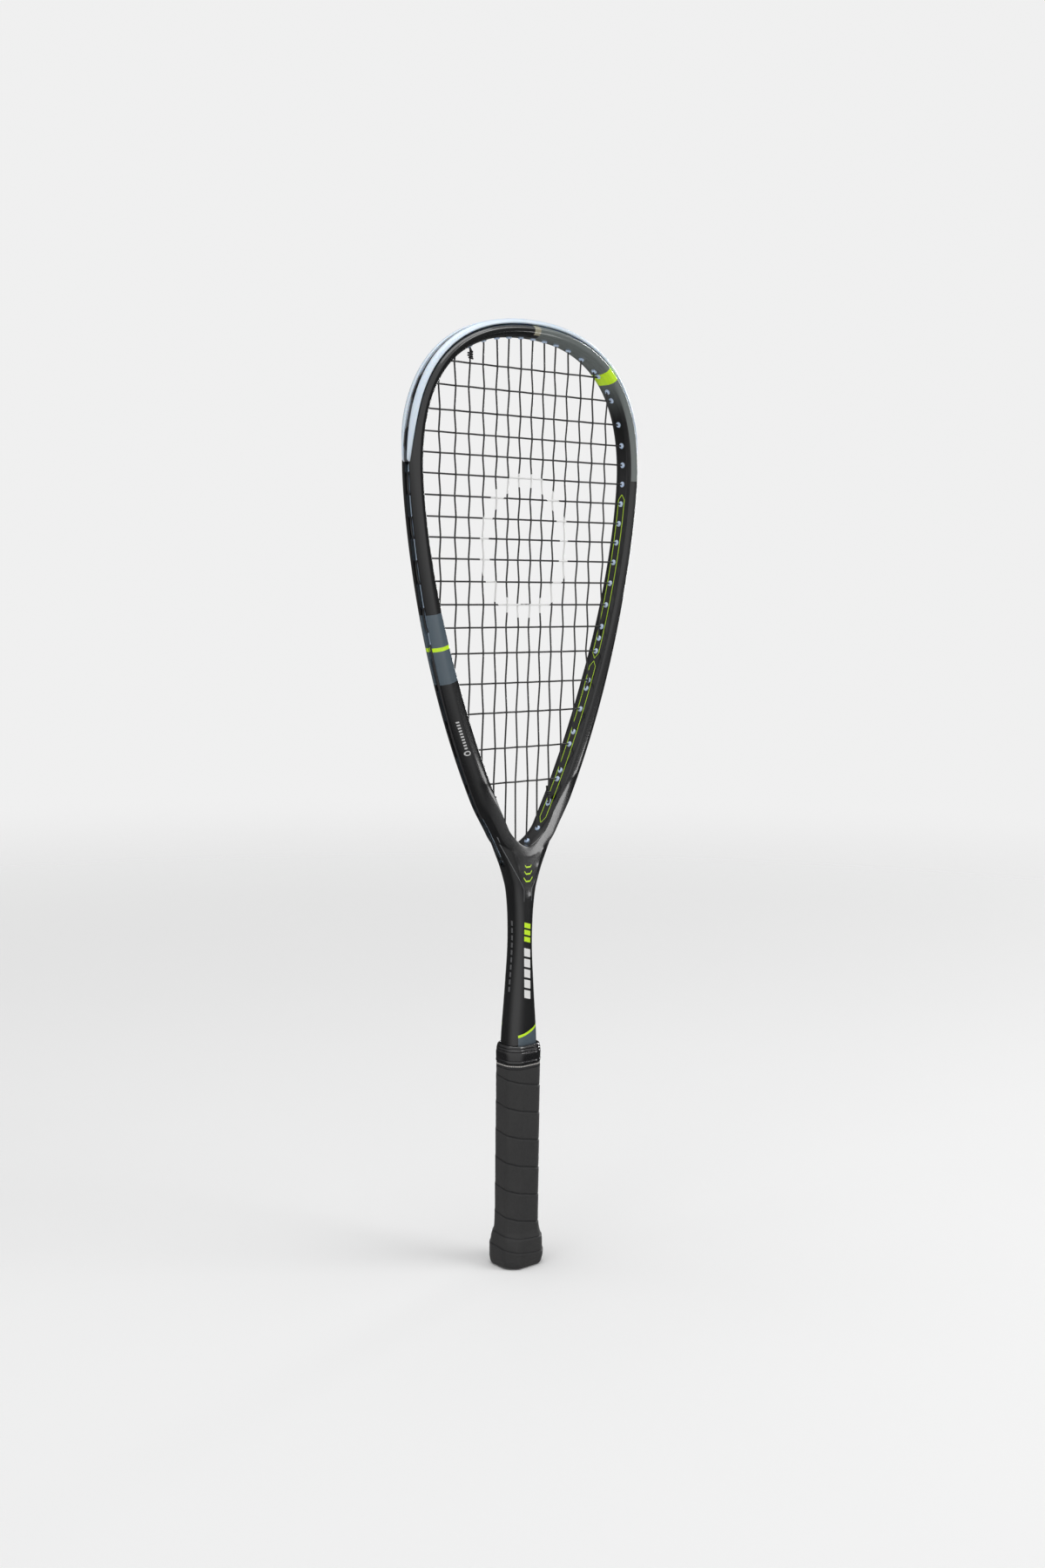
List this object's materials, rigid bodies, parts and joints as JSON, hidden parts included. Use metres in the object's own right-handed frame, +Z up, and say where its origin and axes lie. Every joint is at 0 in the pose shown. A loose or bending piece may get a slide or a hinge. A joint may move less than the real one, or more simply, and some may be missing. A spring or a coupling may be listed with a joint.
{
  "type": "squash racket",
  "caption": "Squash racket with a teardrop strung head, a one-piece carbon frame and a wrapped octagonal handle, standing on its butt end.",
  "frame": {"origin": "middle of the flat butt end, at the bottom of the handle", "axes": "+Z up the handle to the head, +X across the head, +Y through its thickness"},
  "size_m": [0.2158, 0.0322, 0.6852],
  "materials": {
    "frame_carbon": "painted carbon composite, satin to gloss black with grey and yellow-green bands",
    "bumper_nylon": "translucent pale blue nylon",
    "grommet_nylon": "translucent pale blue nylon",
    "string_nylon": "dark coated multifilament",
    "pallet_foam": "rigid moulded foam",
    "cap_plastic": "moulded, satin",
    "staple_steel": "drawn wire",
    "grip_polyurethane": "soft synthetic leather wrap, matte",
    "finishing_tape": "woven adhesive tape",
    "collar_rubber": "smooth, half gloss"
  },
  "bodies": {
    "root": {"frame": "frame_carbon", "bumper_guard": "bumper_nylon", "grommet_strip_right": "grommet_nylon", "grommet_strip_left": "grommet_nylon", "throat_grommet_1": "grommet_nylon", "throat_grommet_2": "grommet_nylon", "throat_grommet_3": "grommet_nylon", "throat_grommet_4": "grommet_nylon", "main_string": "string_nylon", "cross_string": "string_nylon", "pallet_half_back": "pallet_foam", "pallet_half_front": "pallet_foam", "butt_cap": "cap_plastic", "butt_cap_staple_1": "staple_steel", "butt_cap_staple_2": "staple_steel", "butt_cap_staple_3": "staple_steel", "butt_cap_staple_4": "staple_steel", "grip_tape": "grip_polyurethane", "finishing_tape": "finishing_tape", "grip_collar": "collar_rubber"}
  },
  "joints": []
}
